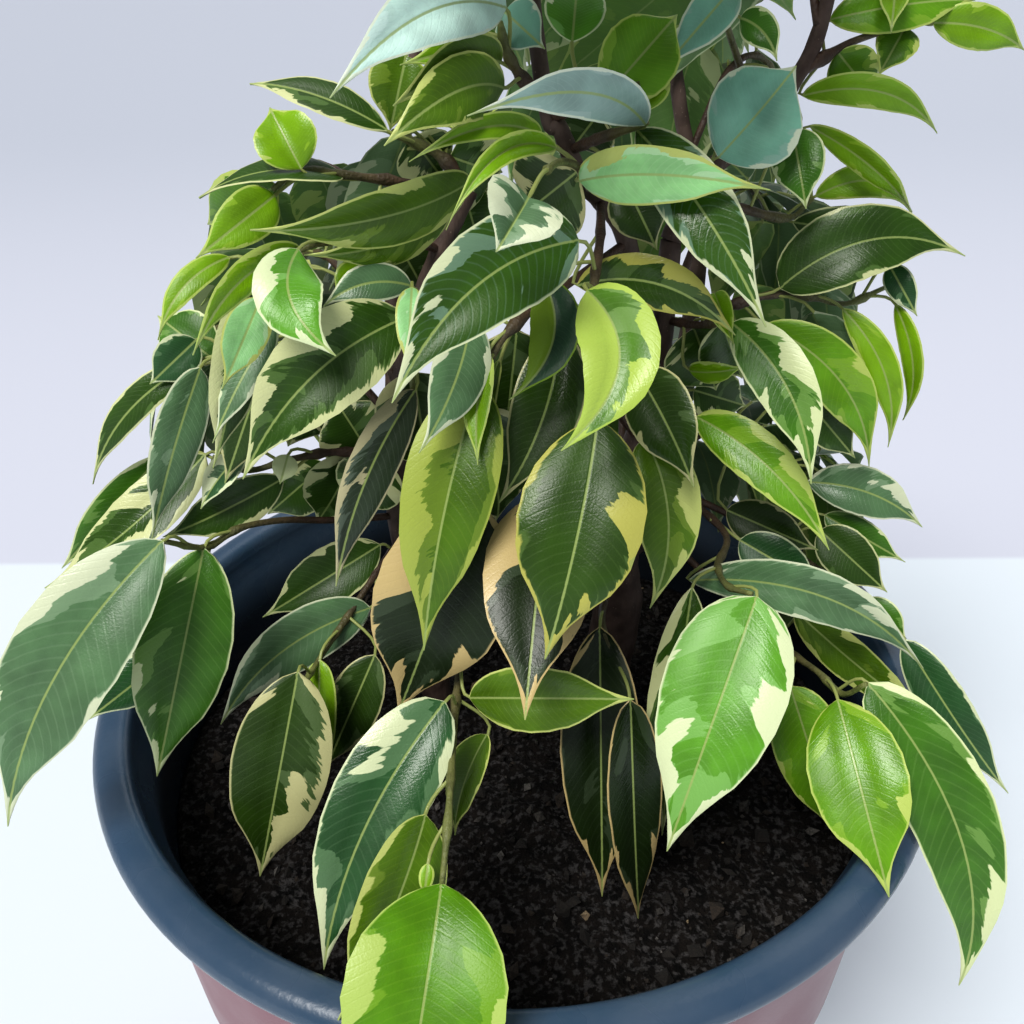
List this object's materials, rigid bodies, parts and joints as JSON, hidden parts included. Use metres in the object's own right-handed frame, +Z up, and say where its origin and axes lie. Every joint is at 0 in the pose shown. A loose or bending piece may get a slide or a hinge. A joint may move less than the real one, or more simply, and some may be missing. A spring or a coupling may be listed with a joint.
{
  "type": "potted weeping fig",
  "caption": "young variegated weeping fig with glossy cream-edged leaves in a dusty pink plastic pot with a slate-blue rim",
  "frame": {"origin": "the centre of the pot's underside, where the plant stands on the floor", "axes": "+Z up along the pot's axis, -Z down into the floor it stands on, -Y towards the viewer of the picture, +X to the right in the picture"},
  "size_m": [0.2351, 0.263, 0.4214],
  "materials": {
    "pink_plastic": "dusty pink plastic with a soft sheen",
    "slate_plastic": "slate-blue glossy plastic",
    "peat": "moist dark potting peat with bark crumbs",
    "bark": "smooth pinkish-brown bark",
    "leaf": "glossy green leaves with jagged cream margins"
  },
  "bodies": {
    "root": {"pot": "pink_plastic", "liner": "slate_plastic", "soil": "peat", "trunk": "bark", "stem_left": "bark", "spray_front_low": "leaf", "spray_front_middle": "leaf", "spray_front_right": "leaf", "spray_front_inner": "leaf", "spray_front_left": "leaf", "spray_centre_low": "leaf", "spray_left_curtain": "leaf", "spray_left_upper": "leaf", "spray_left_top": "leaf", "spray_left_middle": "leaf", "spray_left_fan": "leaf", "spray_left_far": "leaf", "spray_left_low": "leaf", "spray_right_front": "leaf", "spray_right_low": "leaf", "spray_right_edge": "leaf", "spray_right_middle": "leaf", "spray_right_fan": "leaf", "spray_right_upper": "leaf", "spray_right_high": "leaf", "spray_centre_high": "leaf", "spray_centre_right": "leaf", "spray_top_left": "leaf", "spray_left_crown": "leaf", "spray_top_middle": "leaf", "spray_top_right": "leaf", "spray_right_tip": "leaf", "spray_back_low_1": "leaf", "spray_back_low_2": "leaf", "spray_back_low_3": "leaf", "spray_back_low_4": "leaf", "spray_back_low_5": "leaf", "spray_back_middle_1": "leaf", "spray_back_middle_2": "leaf", "spray_back_middle_3": "leaf", "spray_back_middle_4": "leaf", "spray_back_high_1": "leaf", "spray_back_high_2": "leaf", "spray_back_high_3": "leaf", "spray_crown_right": "leaf", "spray_crown_back": "leaf", "spray_crown_front": "leaf", "spray_crown_top": "leaf"}
  },
  "joints": []
}
